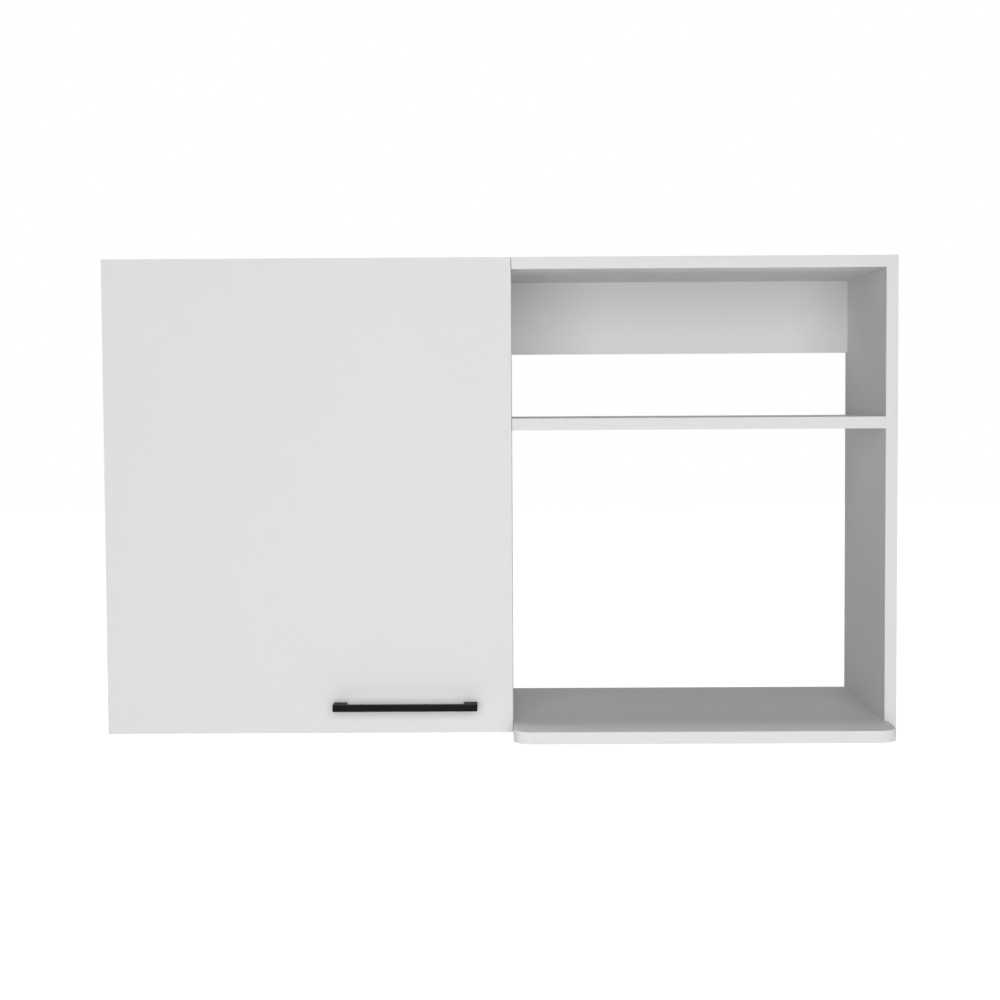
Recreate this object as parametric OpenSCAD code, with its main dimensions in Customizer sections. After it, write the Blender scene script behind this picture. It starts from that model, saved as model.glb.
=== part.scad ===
// Kitchen wall cabinet with a door bay on the left and an open bay for a microwave oven on the right.
// Millimetres. X runs to the right, Y towards the wall and Z up. The origin lies on the wall plane,
// midway across the cabinet, on the line of the wall screws.

/* [Cabinet] */
// Overall width
cabinet_w = 1000; // [900:10:1200]
// Overall height
cabinet_h = 603; // [560:1:720]
// Depth from the wall to the door's front face
cabinet_d = 290; // [260:1:340]
// Thickness of the coated boards
board = 15; // [15:1:18]
// Inside width of the door bay
door_bay_w = 485; // [420:1:560]
// Thickness of the edge banding
band = 1; // [0.8:0.1:2]

/* [Open bay] */
// Clear height of the microwave niche
niche_h = 371; // [330:1:400]
// How far the microwave shelf reaches out in front of the cabinet
shelf_out = 70; // [40:1:120]
// Radius of the microwave shelf's front corners
shelf_r = 25; // [10:1:35]

/* [Rails and back] */
// Height of the wall rails
rail_h = 100; // [80:1:130]
// Diameter of the wall screw holes
wall_hole_d = 6; // [5:0.5:8]
// From a rail's end to its wall screw hole
wall_hole_inset = 48; // [40:1:80]
// Diameter of the cover caps over the wall screw holes
cap_d = 13; // [11:0.5:16]
// Thickness of the cover caps
cap_t = 0.6; // [0.4:0.1:1.5]
// Thickness of the back panel of the door bay
back_t = 3; // [2.5:0.5:4]
// How deep the back panel sits in its grooves
groove_depth = 6; // [4:0.5:7]

/* [Adjustable shelf] */
// Height of the shelf pin that carries the shelf, as a count of 32 mm steps above the lowest hole
shelf_step = 2; // [0:1:4]
// Gap between the shelf and each side
shelf_side_gap = 1; // [0.5:0.1:2]
// From the front edges of the door bay to the front of the shelf
shelf_setback = 20; // [10:1:30]
// Diameter of the shelf pins
pin_d = 4.9; // [4.5:0.1:5.5]
// Length of the shelf pins inside the board
pin_l = 9; // [7:0.5:10]

/* [Door] */
// Thickness of the door
door_t = 15; // [15:1:18]
// Gap between the back of the door and the case
door_gap = 2; // [1.5:0.1:3]
// How far the door stops short of the underside
door_bottom_gap = 3; // [0:0.5:6]
// Gap between the door's free edge and the open bay
door_side_gap = 0.6; // [0.5:0.1:3]
// Diameter of the door bumpers
bumper_d = 8; // [6:0.5:10]

/* [Handle] */
// Length of the handle
handle_l = 182; // [150:1:250]
// Distance between the handle's screws
handle_centres = 160; // [128:1:224]
// Height of the handle bar
handle_h = 8.5; // [7:0.5:14]
// Depth of the handle bar
handle_bar_d = 8; // [6:0.5:12]
// How far the handle stands out from the door
handle_out = 25; // [22:1:40]
// Width of the handle's feet at the door
foot_w = 17; // [14:0.5:20]
// From the door's lower edge to the middle of the handle
handle_rise = 35; // [25:1:120]
// From the door's free edge to the end of the handle
handle_inset = 45; // [25:1:80]

/* [Hinges] */
// From each end of the door to the middle of its hinge
hinge_inset = 92; // [80:1:110]
// Diameter of the hinge cups
cup_d = 35; // [34:0.5:36]
// Depth of the hinge cups in the door
cup_depth = 12; // [11:0.5:12.5]
// Board left between the door's edge and the cup
cup_tab = 5; // [4:0.5:6]
// Distance between a cup's two screws
cup_screw_centres = 48; // [45:0.5:52]

/* [Board fittings] */
// Diameter of the dowels
dowel_d = 8; // [6:1:8]
// Length of the dowels
dowel_l = 30; // [25:1:35]
// Diameter of the cam locks
cam_d = 15; // [12:0.5:16]
// From a board's end to the middle of its cam lock
cam_reach = 24; // [22:1:34]
// Diameter of the cam bolts
bolt_d = 6; // [5:0.5:7]
// Diameter of the long screws through the right side panel into the microwave shelf
shelf_screw_d = 6.4; // [5:0.1:7]
// Length of the long screws
shelf_screw_l = 50; // [40:1:60]

/* [Hidden] */
$fn = 64;

// Room round what sits in a bore, round what turns on a pin, and past the end of a blind hole
slip = 0.08;
turn = 0.05;
spare = 0.5;
// Hairline between the bands of neighbouring boards
hairline = 0.05;
// Drilling grid of the side panels, and its two rows from the case's front and from the wall
pitch = 32;
row_in_front = 37;
row_in_rear = 44;
// Fittings in the boards' ends, from the case's front and from the wall
fit_in_front = 45;
fit_in_rear = 58;
// How far a cutting shape reaches past the face it cuts
past = 1;
// How far the microwave shelf's front part reaches across the right side panel's front edge
shelf_lip = 5;

// Places across the cabinet, from its left face
divider_x = board + door_bay_w;
bay_x = divider_x + board;
right_in = cabinet_w - board;
shelf_right = right_in + shelf_lip;
wall_hole_xs = [board + wall_hole_inset, divider_x - wall_hole_inset, bay_x + wall_hole_inset,
    right_in - wall_hole_inset];

// Places from the door's front face towards the wall
case_front = door_t + door_gap;
rail_y = cabinet_d - board;
rail_mid = cabinet_d - board / 2;
back_y = rail_mid - back_t / 2;
row_front = case_front + row_in_front;
row_rear = cabinet_d - row_in_rear;
fit_front = case_front + fit_in_front;
fit_rear = cabinet_d - fit_in_rear;

// Heights from the underside
top_z = cabinet_h - board;
rail_z = top_z - rail_h;
screw_line = rail_z + rail_h / 2;
middle_z = board + niche_h;
hinge_zs = [door_bottom_gap + hinge_inset, cabinet_h - hinge_inset];
// The lowest shelf pin hole above the lower hinge, in steps of the drilling grid
pin_first = 4.5;
pin_zs = [for (k = [0:4]) hinge_zs[0] + (pin_first + k) * pitch];
// The shelf pins' tops are flattened by this much
pin_flat = 0.6;
shelf_back_gap = 2;
shelf_z = pin_zs[shelf_step] + pin_d / 2 - pin_flat;

// The bumpers, from the door's upper and lower edges, and their room to the divider's edge
bumper_inset = 17;
bumper_room = 0.3;

door_w = bay_x - door_side_gap;
door_h = cabinet_h - door_bottom_gap;

// Each joint is the face's x, the side its board lies on, the board's middle height, the side its cam
// locks open to and the bay. The two bays' fittings miss each other in the divider.
joints = [
    [board, 1, cabinet_h - board / 2, 1, 0], [divider_x, -1, cabinet_h - board / 2, 1, 0],
    [board, 1, board / 2, -1, 0], [divider_x, -1, board / 2, -1, 0],
    [bay_x, 1, cabinet_h - board / 2, 1, 1], [right_in, -1, cabinet_h - board / 2, 1, 1],
    [bay_x, 1, middle_z + board / 2, -1, 1], [right_in, -1, middle_z + board / 2, -1, 1],
    [bay_x, 1, board / 2, -1, 1]];
rail_joints = [[board, 1, 0], [divider_x, -1, 0], [bay_x, 1, 1], [right_in, -1, 1]];
function cam_ys(bay) = [fit_front - bay * pitch / 2, fit_rear + bay * pitch / 2];
function dowel_ys(bay) = [fit_front + pitch - bay * pitch / 2, fit_rear - pitch + bay * pitch / 2];
// In a rail's ends: its dowels from its edges, its cam lock above its lower edge, and how much higher
// the open bay's fittings sit
rail_dowel_in = 20;
rail_cam_up = 42;
rail_shift = 12;
function rail_dowel_zs(bay) =
    [rail_z + rail_dowel_in + bay * rail_shift, top_z - rail_dowel_in + bay * rail_shift];
function rail_cam_z(bay) = rail_z + rail_cam_up + bay * rail_shift;

// Right end of the microwave shelf, against the right side panel
shelf_joint = [right_in, -1, board / 2, -1, 1];
shelf_screw_ys = [fit_front, (fit_front + fit_rear) / 2, fit_rear];
side_dowel_ys = [fit_front + pitch, fit_rear - pitch];

// Fittings inside the boards
dowel_in = 10;
shelf_head_d = 10;
shelf_head_t = 3;
shelf_socket_d = 4.6;
shelf_socket_t = 2;
bolt_in = 11;
bolt_neck_d = 4;
bolt_head_d = 6.4;
bolt_head_l = 3;
// Board left under a cam lock, the lock's room round the bolt's head and neck, and its cross recess
cam_floor = 3;
cam_h = board - cam_floor;
head_room = 0.4;
neck_room = 0.3;
cam_cross_l = 6;
cam_cross_w = 1.2;
cam_cross_t = 1.5;
screw_cross_w = 1;
screw_cross_t = 1;
pin_reach = 8;
collar_t = 0.8;
collar_d = 7.5;

// Handle
handle_x = door_w - handle_inset - handle_l / 2;
handle_z = door_bottom_gap + handle_rise;
handle_fillet = 3.2;
handle_edge = 0.5;
handle_screw_d = 4;
handle_screw_in = 9;
handle_head_d = 8;
handle_head_t = 2.2;

// Hinge cup, from the door's left edge and its back
cup_x = cup_tab + cup_d / 2;
pocket_l = cup_d - 4.6;
pocket_w = 13;
cup_floor = 0.9;
flange_t = 1;
flange_lip = 1.5;
cup_wing_x = 6;
cup_wing_d = 11;
cup_screw_x = cup_x + cup_wing_x;
cup_screw_d = 3.5;
cup_screw_in = 9;
cup_head_d = 7.4;
cup_head_t = 1.4;

// Hinge pivots as x and y. The arm's two lie off the side panel, the door's two in the cup.
arm_pivot_outer = [board + 21, case_front + 13.5];
arm_pivot_inner = [board + 12.5, case_front + 5.6];
// In the cup, from its middle and the door's back: the stubs, the inner link's pin and its slots
stub_at = [-12.1, -2.1];
pin_at = [-11.6, -8.1];
slot_at = [-11.85, -7.55];
rib_l = 6.6;
rib_h = 8.2;
cup_pivot_outer = [cup_x + stub_at[0], door_t + stub_at[1]];
cup_pivot_inner = [cup_x + pin_at[0], door_t + pin_at[1]];
arm_pin_d = 3.2;
stub_d = 3;
link_pin_d = 2.4;
hub_d = 6.8;
link_t = 1.5;
outer_bar_w = 4;
outer_end_d = 5.2;
inner_bar_w = 2.5;
inner_end_d = 4.8;
// How far the links bow off the straight line between their pivots, at a third and two thirds of it
outer_bow = [15, 17];
inner_bow = [12, 13];
ear_t = 1.4;
inner_half = 2.8;
ear_from = inner_half + 0.2;
cheek_from = ear_from + ear_t + 0.3;
cheek_to = cheek_from + link_t;
stub_to = 9;
// The inner link's pin has this much room in the cup's slots, the pivot that the linkage is opened at
slot_room = 0.85;
slot_travel = 1.42;

// Mounting plate and arm, from the side panel's inner face
plate_t = 2;
plate_wing_w = 13;
plate_screw_d = 5;
plate_screw_in = 11;
plate_head_d = 8.4;
plate_head_t = 1.8;
// The plate reaches this far in front of its screws, and its ridge starts behind them
plate_nose = 8;
ridge_start = 7.5;
arm_top = 15;
arm_wall = 1.4;
arm_half = 8;
// Gap between the arm and the ridge, the foot of the arm's channel and the arm's front
arm_gap = 0.3;
arm_foot = 6.5;
arm_front = row_front - 6;
arm_end = row_front + 34;
arm_screw_ys = [row_front + 14, row_front + 27];
arm_screw_d = 4;
arm_screw_from = 4;
arm_head_d = 7.5;
arm_head_t = 2.2;

module at_wall() translate([-cabinet_w / 2, -cabinet_d, -screw_line]) children();

// A cylinder along X from a face, on the given side of it, between two distances
module rod(x, y, z, side, from, to, d) {
    translate([x, y, z]) rotate([0, side * 90, 0]) translate([0, 0, from]) cylinder(d = d, h = to - from);
}

// A cylinder along Y between two places
module pin_y(x, z, from, to, d) {
    translate([x, from, z]) rotate([-90, 0, 0]) cylinder(d = d, h = to - from);
}

module box(from, to) translate(from) cube(to - from);

// Puts a fitting at a board's end, with X into the board and Z to the face its cam opens to
module at_joint(j) {
    translate([j[0], 0, j[2]]) mirror([j[1] < 0 ? 1 : 0, 0, 0])
        mirror([0, 0, j[3] < 0 ? 1 : 0]) children();
}

module at_rail_joint(j) {
    translate([j[0], rail_mid, 0]) mirror([j[1] < 0 ? 1 : 0, 0, 0]) children();
}

module dowel_here() rod(0, 0, 0, 1, -dowel_in, dowel_l - dowel_in, dowel_d);

module cam_lock_here() {
    translate([cam_reach, 0, 0]) difference() {
        translate([0, 0, board / 2 - cam_h]) cylinder(d = cam_d, h = cam_h);
        rod(0, 0, 0, -1, -2 * neck_room, bolt_head_l + head_room, bolt_head_d + 2 * head_room);
        rod(0, 0, 0, -1, bolt_head_l, cam_d, bolt_neck_d + 2 * neck_room);
        translate([0, 0, board / 2 + (past - cam_cross_t) / 2]) {
            cube([cam_cross_l, cam_cross_w, cam_cross_t + past], center = true);
            cube([cam_cross_w, cam_cross_l, cam_cross_t + past], center = true);
        }
    }
}

module cam_bolt_here() {
    rod(0, 0, 0, 1, -bolt_in, cam_reach - cam_d / 2 - 1, bolt_d);
    rod(0, 0, 0, 1, cam_reach - cam_d / 2 - 1, cam_reach - bolt_head_l, bolt_neck_d);
    rod(0, 0, 0, 1, cam_reach - bolt_head_l, cam_reach, bolt_head_d);
}

module cam_cut_here() {
    rod(0, 0, 0, 1, -past, cam_reach, bolt_d + 2 * slip);
    translate([cam_reach, 0, board / 2 - cam_h - spare])
        cylinder(d = cam_d + 2 * slip, h = cam_h + 2 * spare);
}

module dowel_cut_here() rod(0, 0, 0, 1, -past, dowel_l - dowel_in + spare, dowel_d + 2 * slip);

// Bores in a board's own end
module end_cuts(j) {
    at_joint(j) {
        for (y = cam_ys(j[4])) translate([0, y, 0]) cam_cut_here();
        for (y = dowel_ys(j[4])) translate([0, y, 0]) dowel_cut_here();
    }
}

// Bores in the panel that the board's end meets
module face_cuts(j) {
    at_joint(j) {
        for (y = cam_ys(j[4])) rod(0, y, 0, -1, -past, bolt_in + spare, bolt_d + 2 * slip);
        for (y = dowel_ys(j[4])) rod(0, y, 0, -1, -past, dowel_in + spare, dowel_d + 2 * slip);
    }
}

module rail_end_cuts(j) {
    at_rail_joint(j) {
        translate([0, 0, rail_cam_z(j[2])]) rotate([-90, 0, 0]) cam_cut_here();
        for (z = rail_dowel_zs(j[2])) translate([0, 0, z]) dowel_cut_here();
    }
}

module rail_face_cuts(j) {
    at_rail_joint(j) {
        rod(0, 0, rail_cam_z(j[2]), -1, -past, bolt_in + spare, bolt_d + 2 * slip);
        for (z = rail_dowel_zs(j[2])) rod(0, 0, z, -1, -past, dowel_in + spare, dowel_d + 2 * slip);
    }
}

module wall_holes(xs) {
    for (x = xs) pin_y(x, screw_line, rail_y - past, cabinet_d + past, wall_hole_d);
}

// Groove for the back panel, on all four sides of the door bay at once
module back_groove() {
    box([board - groove_depth, back_y - slip, board - groove_depth],
        [divider_x + groove_depth, back_y + back_t + slip, rail_z + groove_depth]);
}

module pin_holes(x, side) {
    for (y = [row_front, row_rear], z = pin_zs) rod(x, y, z, side, -past, pin_l + spare, pin_d + 2 * turn);
}

module plate_screw_holes() {
    for (hz = hinge_zs, s = [-1, 1]) rod(board, row_front, hz + s * pitch / 2, -1, -past,
        plate_screw_in + spare, plate_screw_d + 2 * slip);
}

module left_side() color("#e9e9e8") at_wall() difference() {
    box([0, case_front + band, 0], [board, cabinet_d, cabinet_h]);
    for (j = joints) if (j[0] == board) face_cuts(j);
    rail_face_cuts(rail_joints[0]);
    back_groove();
    pin_holes(board, -1);
    plate_screw_holes();
}

module divider() color("#e9e9e8") at_wall() difference() {
    box([divider_x, case_front + band, 0], [bay_x, cabinet_d, cabinet_h]);
    for (j = joints) if (j[0] == divider_x || j[0] == bay_x) face_cuts(j);
    rail_face_cuts(rail_joints[1]);
    rail_face_cuts(rail_joints[2]);
    back_groove();
    pin_holes(divider_x, 1);
}

module right_side() color("#e9e9e8") at_wall() difference() {
    box([right_in, band, 0], [cabinet_w, cabinet_d, cabinet_h]);
    for (j = joints) if (j[0] == right_in) face_cuts(j);
    rail_face_cuts(rail_joints[3]);
    shelf_screw_bores();
    for (y = shelf_screw_ys) rod(cabinet_w, y, board / 2, -1, -past, shelf_head_t + slip,
        shelf_head_d + 2 * slip);
    at_joint(shelf_joint) for (y = side_dowel_ys)
        rod(0, y, 0, -1, -past, dowel_in + spare, dowel_d + 2 * slip);
}

module left_top() color("#e9e9e8") at_wall() difference() {
    box([board, case_front + band, top_z], [divider_x, cabinet_d, cabinet_h]);
    end_cuts(joints[0]);
    end_cuts(joints[1]);
}

module left_bottom() color("#e9e9e8") at_wall() difference() {
    box([board, case_front + band, 0], [divider_x, cabinet_d, board]);
    end_cuts(joints[2]);
    end_cuts(joints[3]);
    back_groove();
}

module right_top() color("#e9e9e8") at_wall() difference() {
    box([bay_x, band, top_z], [right_in, cabinet_d, cabinet_h]);
    end_cuts(joints[4]);
    end_cuts(joints[5]);
}

module middle_shelf() color("#e9e9e8") at_wall() difference() {
    box([bay_x, band, middle_z], [right_in, cabinet_d, middle_z + board]);
    end_cuts(joints[6]);
    end_cuts(joints[7]);
}

// The microwave shelf's outline from above. Between the divider and the right side panel it runs back
// to the wall, and in front of them it has round corners. The inset leaves room for the edge band.
module shelf_outline(inset) {
    for (x = [bay_x + shelf_r, shelf_right - shelf_r])
        translate([x, shelf_r - shelf_out]) circle(r = shelf_r - inset);
    translate([bay_x + shelf_r, inset - shelf_out])
        square([shelf_right - bay_x - 2 * shelf_r, shelf_out - inset]);
    translate([bay_x + inset, shelf_r - shelf_out])
        square([shelf_right - bay_x - 2 * inset, shelf_out - shelf_r]);
    translate([bay_x + inset, -hairline]) square([right_in - bay_x - inset, cabinet_d + hairline]);
}

module shelf_core_outline() {
    shelf_outline(band);
    translate([bay_x, case_front]) square([2 * band, cabinet_d - case_front]);
}

module shelf_screw_bores() {
    for (y = shelf_screw_ys) rod(cabinet_w, y, board / 2, -1, -past, shelf_screw_l + spare,
        shelf_screw_d + 2 * slip);
}

module microwave_shelf() color("#e9e9e8") at_wall() difference() {
    linear_extrude(board) shelf_core_outline();
    end_cuts(joints[8]);
    shelf_screw_bores();
    at_joint(shelf_joint) for (y = side_dowel_ys) translate([0, y, 0]) dowel_cut_here();
}

module left_rail() color("#e9e9e8") at_wall() difference() {
    box([board, rail_y, rail_z], [divider_x, cabinet_d, top_z]);
    rail_end_cuts(rail_joints[0]);
    rail_end_cuts(rail_joints[1]);
    wall_holes([wall_hole_xs[0], wall_hole_xs[1]]);
    back_groove();
}

module right_rail() color("#e9e9e8") at_wall() difference() {
    box([bay_x, rail_y, rail_z], [right_in, cabinet_d, top_z]);
    rail_end_cuts(rail_joints[2]);
    rail_end_cuts(rail_joints[3]);
    wall_holes([wall_hole_xs[2], wall_hole_xs[3]]);
}

module back_panel() color("#e2e2e0") at_wall()
    box([board - groove_depth + spare, back_y, board - groove_depth + spare],
        [divider_x + groove_depth - spare, back_y + back_t, rail_z + groove_depth - spare]);

module adjustable_shelf() color("#e9e9e8") at_wall()
    box([board + shelf_side_gap, case_front + shelf_setback + band, shelf_z],
        [divider_x - shelf_side_gap, back_y - shelf_back_gap, shelf_z + board]);

// Each pin has a collar against the side panel and a flat top under the shelf
module shelf_pin(x, y, side) {
    difference() {
        union() {
            rod(x, y, pin_zs[shelf_step], side, -pin_l, pin_reach, pin_d);
            rod(x, y, pin_zs[shelf_step], side, 0, collar_t, collar_d);
        }
        translate([x - (side > 0 ? 0 : pin_reach + past) + side * collar_t, y - pin_d, shelf_z])
            cube([pin_reach + past, 2 * pin_d, pin_d]);
    }
}

module shelf_pins() color("#c9cacc") at_wall() for (y = [row_front, row_rear]) {
    shelf_pin(board, y, 1);
    shelf_pin(divider_x, y, -1);
}

// Straight bands on the front edges of the case boards and the adjustable shelf
module case_edge_bands() color("#f0f0ef") at_wall() {
    for (x = [0, divider_x]) box([x, case_front, 0], [x + board, case_front + band, cabinet_h]);
    for (z = [0, top_z])
        box([board + hairline, case_front, z], [divider_x - hairline, case_front + band, z + board]);
    for (z = [middle_z, top_z]) box([bay_x, 0, z], [right_in - hairline, band, z + board]);
    box([right_in, 0, 0], [cabinet_w, band, cabinet_h]);
    box([board + shelf_side_gap, case_front + shelf_setback, shelf_z],
        [divider_x - shelf_side_gap, case_front + shelf_setback + band, shelf_z + board]);
}

// One band runs from the divider round both front corners to the right side panel
module shelf_edge_band() color("#f0f0ef") at_wall() linear_extrude(board) difference() {
    shelf_outline(0);
    shelf_core_outline();
}

module dowels() color("#cda874") at_wall() {
    for (j = joints) at_joint(j) for (y = dowel_ys(j[4])) translate([0, y, 0]) dowel_here();
    for (j = rail_joints) at_rail_joint(j) for (z = rail_dowel_zs(j[2])) translate([0, 0, z]) dowel_here();
    at_joint(shelf_joint) for (y = side_dowel_ys) translate([0, y, 0]) dowel_here();
}

module cam_locks() color("#b4b6b8") at_wall() {
    for (j = joints) at_joint(j) for (y = cam_ys(j[4])) translate([0, y, 0]) cam_lock_here();
    for (j = rail_joints) at_rail_joint(j)
        translate([0, 0, rail_cam_z(j[2])]) rotate([-90, 0, 0]) cam_lock_here();
}

module cam_bolts() color("#a8a9ab") at_wall() {
    for (j = joints) at_joint(j) for (y = cam_ys(j[4])) translate([0, y, 0]) cam_bolt_here();
    for (j = rail_joints) at_rail_joint(j) translate([0, 0, rail_cam_z(j[2])]) cam_bolt_here();
}

// Long screws with flat heads let into the right side panel's outer face, and a hexagon socket
module shelf_screws() color("#b9babb") at_wall() for (y = shelf_screw_ys)
    translate([cabinet_w, y, board / 2]) rotate([0, -90, 0]) difference() {
        union() {
            cylinder(d = shelf_head_d, h = shelf_head_t);
            cylinder(d = shelf_screw_d, h = shelf_screw_l);
        }
        translate([0, 0, -past]) cylinder(d = shelf_socket_d, h = past + shelf_socket_t, $fn = 6);
    }

module screw_caps() color("#eeeeed") at_wall()
    for (x = wall_hole_xs) pin_y(x, screw_line, rail_y - cap_t, rail_y, cap_d);

// Two wings on the panel carry the screws, and a ridge carries the arm
module hinge_plates() color("#b7b9bb") at_wall() for (hz = hinge_zs)
translate([board, 0, hz]) difference() {
    union() {
        box([0, row_front - plate_nose, -arm_half], [plate_t, arm_end - 2, arm_half]);
        box([0, row_front - plate_wing_w / 2, -pitch / 2],
            [plate_t, row_front + plate_wing_w / 2, pitch / 2]);
        for (s = [-1, 1]) rod(0, row_front, s * pitch / 2, 1, 0, plate_t, plate_wing_w);
        box([plate_t / 2, row_front + ridge_start, arm_wall + arm_gap - arm_half],
            [arm_top - arm_wall, arm_end - 3, arm_half - arm_wall - arm_gap]);
    }
    for (s = [-1, 1]) rod(0, row_front, s * pitch / 2, 1, -past, plate_t + past, plate_screw_d + 2 * slip);
    for (y = arm_screw_ys) rod(0, y, 0, 1, arm_screw_from, arm_top, arm_screw_d + 2 * slip);
}

// A pan head with a cross recess, and a shank behind it. X points out of the head.
module pan_screw(shank_d, shank_l, head_d, head_t) {
    difference() {
        union() {
            rod(0, 0, 0, 1, -shank_l, 0, shank_d);
            rod(0, 0, 0, 1, 0, head_t, head_d);
        }
        translate([head_t, 0, 0]) {
            cube([2 * screw_cross_t, head_d / 2, screw_cross_w], center = true);
            cube([2 * screw_cross_t, screw_cross_w, head_d / 2], center = true);
        }
    }
}

module plate_screws() color("#c3c4c6") at_wall() for (hz = hinge_zs, s = [-1, 1])
    translate([board + plate_t, row_front, hz + s * pitch / 2])
        pan_screw(plate_screw_d, plate_screw_in + plate_t, plate_head_d, plate_head_t);

// The ears' outline from above, round both arm pivots and back to the channel
module ear_outline() {
    difference() {
        union() {
            for (p = [arm_pivot_outer, arm_pivot_inner]) translate(p) circle(d = hub_d);
            polygon([arm_pivot_inner + [1, -3.2], arm_pivot_outer + [1.5, -3], arm_pivot_outer + [3.3, 0.4],
                [board + arm_top + 2, row_front - 12], [board + arm_top, row_front - 4],
                [board + arm_top, row_front + 7], [board + 6, row_front + 7], [board + 6, row_front - 14],
                arm_pivot_inner + [-3.3, 0.5]]);
        }
        for (p = [arm_pivot_outer, arm_pivot_inner]) translate(p) circle(d = arm_pin_d + 2 * turn);
    }
}

// A channel over the mounting plate's ridge, narrowed in front to two ears that hold the links
module hinge_arms() color("#c6c8ca") at_wall() for (hz = hinge_zs) translate([0, 0, hz]) {
    for (z = [ear_from, -ear_from - ear_t]) translate([0, 0, z]) linear_extrude(ear_t) ear_outline();
    difference() {
        box([board + arm_foot, arm_front, -arm_half], [board + arm_top, arm_end, arm_half]);
        box([board + arm_foot - past, arm_front - past, arm_wall - arm_half],
            [board + arm_top - arm_wall, arm_end + past, arm_half - arm_wall]);
        for (y = arm_screw_ys)
            rod(board, y, 0, 1, 0, arm_top + past, arm_screw_d + 2 * slip);
    }
    box([board + arm_top - arm_wall, arm_front - 4, -ear_from - ear_t],
        [board + arm_top, arm_front + 0.5, ear_from + ear_t]);
}

module arm_screws() color("#a9abad") at_wall() for (hz = hinge_zs, y = arm_screw_ys)
    translate([board + arm_top, y, hz])
        pan_screw(arm_screw_d, arm_top - arm_screw_from - spare, arm_head_d, arm_head_t);

module arm_pins() color("#9b9da0") at_wall() for (hz = hinge_zs) {
    translate(concat(arm_pivot_outer, hz - cheek_to)) cylinder(d = arm_pin_d, h = 2 * cheek_to);
    translate(concat(arm_pivot_inner, hz - ear_from - ear_t))
        cylinder(d = arm_pin_d, h = 2 * (ear_from + ear_t));
}

// A bowed bar between two pivots: a cubic curve whose two middle points stand off the straight line
function off_line(a, b, k, d) = a + (b - a) * k + [a[1] - b[1], b[0] - a[0]] / norm(b - a) * d;
function curve(a, b, c, d, t) =
    pow(1 - t, 3) * a + 3 * pow(1 - t, 2) * t * c + 3 * (1 - t) * t * t * d + pow(t, 3) * b;
function across(a, b, c, d, t) = let (v = curve(a, b, c, d, t + 0.01) - curve(a, b, c, d, t - 0.01))
    [-v[1], v[0]] / norm(v);

module bowed_bar(a, b, bow_a, bow_b, w) {
    c = off_line(a, b, 1 / 3, bow_a);
    d = off_line(a, b, 2 / 3, bow_b);
    ts = [for (k = [0:12]) k / 12];
    polygon(concat([for (t = ts) curve(a, b, c, d, t) + across(a, b, c, d, t) * w / 2],
        [for (k = [12:-1:0]) curve(a, b, c, d, ts[k]) - across(a, b, c, d, ts[k]) * w / 2]));
}

// The outer link: two cheeks round the arm's ears, a web across their backs and a stub on each cheek
web_x = arm_pivot_outer[0] - 3.1;
web_top = arm_pivot_outer[1] - 9.5;
web_foot = arm_pivot_outer[1] - 23.5;

module cheek_outline() {
    difference() {
        union() {
            bowed_bar(arm_pivot_outer, cup_pivot_outer, outer_bow[0], outer_bow[1], outer_bar_w);
            translate(arm_pivot_outer) circle(d = hub_d);
            translate(cup_pivot_outer) circle(d = outer_end_d);
            polygon([[web_x + link_t, web_top], [web_x + link_t, web_foot], [web_x, web_foot],
                [web_x - 3, web_foot + 4.5], [web_x - 1, web_foot + 9]]);
        }
        translate(arm_pivot_outer) circle(d = arm_pin_d + 2 * turn);
    }
}

module outer_links() color("#cfd1d3") at_wall() for (hz = hinge_zs) translate([0, 0, hz]) {
    for (z = [cheek_from, -cheek_to]) translate([0, 0, z]) linear_extrude(link_t) cheek_outline();
    box([web_x, web_foot, -cheek_to], [web_x + link_t, web_top, cheek_to]);
    for (z = [cheek_from, -stub_to]) translate(concat(cup_pivot_outer, z))
        cylinder(d = stub_d, h = stub_to - cheek_from);
}

// The inner link turns between the ears, and its pin runs in the cup's slots
module inner_links() color("#bfc1c3") at_wall() for (hz = hinge_zs) translate([0, 0, hz]) {
    translate([0, 0, -inner_half]) linear_extrude(2 * inner_half) difference() {
        union() {
            bowed_bar(arm_pivot_inner, cup_pivot_inner, inner_bow[0], inner_bow[1], inner_bar_w);
            translate(arm_pivot_inner) circle(d = hub_d - 0.4);
            translate(cup_pivot_inner) circle(d = inner_end_d);
        }
        translate(arm_pivot_inner) circle(d = arm_pin_d + 2 * turn);
    }
    translate(concat(cup_pivot_inner, -ear_from - ear_t))
        cylinder(d = link_pin_d, h = 2 * (ear_from + ear_t));
}

module door_panel() color("#ececeb") at_wall() difference() {
    box([band, 0, door_bottom_gap + band], [door_w - band, door_t, cabinet_h - band]);
    for (hz = hinge_zs) {
        pin_y(cup_x, hz, door_t - cup_depth - 0.1, door_t + past, cup_d + 2 * slip);
        for (s = [-1, 1]) pin_y(cup_screw_x, hz + s * cup_screw_centres / 2, door_t - cup_screw_in - spare,
            door_t + past, cup_screw_d + 2 * slip);
    }
    for (s = [-1, 1]) pin_y(handle_x + s * handle_centres / 2, handle_z, -past, door_t + past,
        handle_screw_d + 2 * slip);
}

module door_edge_bands() color("#f0f0ef") at_wall() {
    for (x = [0, door_w - band]) box([x, 0, door_bottom_gap], [x + band, door_t, cabinet_h]);
    for (z = [door_bottom_gap, cabinet_h - band])
        box([band + hairline, 0, z], [door_w - band - hairline, door_t, z + band]);
}

module door_bumpers() color("#d8d9da") at_wall()
    for (z = [door_bottom_gap + bumper_inset, cabinet_h - bumper_inset])
        pin_y(divider_x + board / 2, z, door_t, door_t + door_gap - bumper_room, bumper_d);

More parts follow.
